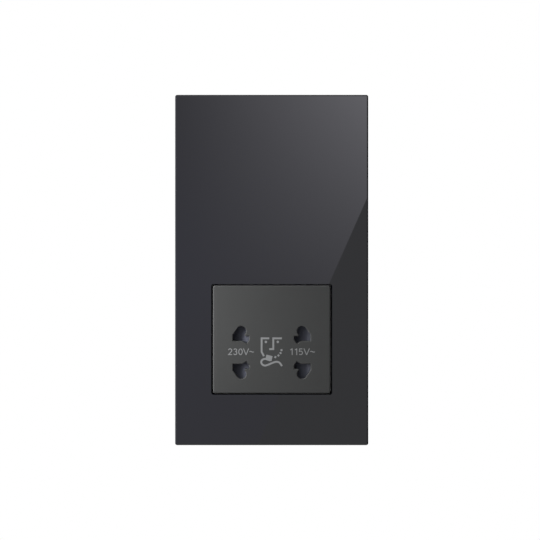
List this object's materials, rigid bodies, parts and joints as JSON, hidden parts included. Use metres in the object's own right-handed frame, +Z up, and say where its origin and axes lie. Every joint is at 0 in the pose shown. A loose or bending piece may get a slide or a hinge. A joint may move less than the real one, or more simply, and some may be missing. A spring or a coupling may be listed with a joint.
{
  "type": "shaver socket",
  "caption": "Wall-mounted dual-voltage shaver socket: tall glass plate, shuttered socket module, isolating transformer in a rear housing.",
  "frame": {"origin": "middle of the front plate, on the wall's surface", "axes": "+X to the right seen from the front, +Y into the wall, +Z up; the socket's front faces -Y"},
  "size_m": [0.086, 0.0523, 0.156],
  "materials": {
    "black_glass": "polished black back-painted glass",
    "foam": "closed-cell foam tape",
    "black_moulding": "fine matt black",
    "zinc_steel": "zinc plated",
    "bright_steel": "bright plated",
    "clear_nylon": "natural nylon",
    "brass": "plain turned brass",
    "grey_moulding": "satin dark grey",
    "dark_moulding": "satin black",
    "shutter_moulding": "smooth blue-grey",
    "bronze": "phosphor bronze strip",
    "red_moulding": "smooth red",
    "board": "green resist on glass board",
    "core_steel": "varnished laminations",
    "copper": "enamelled copper wire",
    "tape": "yellow polyester film",
    "brown_insulation": "brown insulation",
    "black_insulation": "black insulation",
    "housing_moulding": "light grey moulding"
  },
  "bodies": {
    "root": {"glass_plate": "black_glass", "bonding_pads": "foam", "plate_carrier": "black_moulding", "support_frame": "zinc_steel", "fixing_screws": "bright_steel", "screw_retainers": "clear_nylon", "earth_clamp": "brass", "earth_screw": "brass", "socket_fascia": "grey_moulding", "socket_base": "dark_moulding", "shutter_spring_230": "bright_steel", "shutter_spring_115": "bright_steel", "contact_230": "bronze", "contact_115": "bronze", "contact_common": "bronze", "switch_body_230": "dark_moulding", "switch_body_115": "dark_moulding", "circuit_board": "board", "base_screws": "bright_steel", "thermal_cutout": "bright_steel", "terminal_block": "dark_moulding", "terminal_clamps": "brass", "terminal_screws": "bright_steel", "core_e_stack": "core_steel", "core_i_stack": "core_steel", "core_bolts": "bright_steel", "coil_former": "clear_nylon", "former_tags": "brass", "primary_winding": "copper", "secondary_winding": "copper", "coil_tape": "tape", "primary_leads": "brown_insulation", "secondary_leads": "black_insulation", "insulation_sheet": "tape", "rear_housing": "housing_moulding", "housing_screws": "bright_steel"},
    "shutter_230": {"shutter_230": "shutter_moulding"},
    "shutter_115": {"shutter_115": "shutter_moulding"},
    "plunger_230": {"switch_plunger_230": "red_moulding"},
    "plunger_115": {"switch_plunger_115": "red_moulding"}
  },
  "joints": [
    {"name": "shutter_230_slide", "type": "slide", "parent": "root", "child": "shutter_230", "axis": [1, 0, 0], "range_m": [0, 0.0075], "stiffness_N_per_m": 60, "springref_m": -0.004, "deforming": ["shutter_spring_230"]},
    {"name": "shutter_115_slide", "type": "slide", "parent": "root", "child": "shutter_115", "axis": [1, 0, 0], "range_m": [0, 0.0075], "stiffness_N_per_m": 60, "springref_m": -0.004, "deforming": ["shutter_spring_115"]},
    {"name": "plunger_230_slide", "type": "slide", "parent": "root", "child": "plunger_230", "axis": [0, 1, 0], "range_m": [0, 0.00075]},
    {"name": "plunger_115_slide", "type": "slide", "parent": "root", "child": "plunger_115", "axis": [0, 1, 0], "range_m": [0, 0.00075]}
  ],
  "couplings": [
    {"joint": "plunger_230_slide", "follows": "shutter_230_slide", "ratio": 0.1},
    {"joint": "plunger_115_slide", "follows": "shutter_115_slide", "ratio": 0.1}
  ]
}
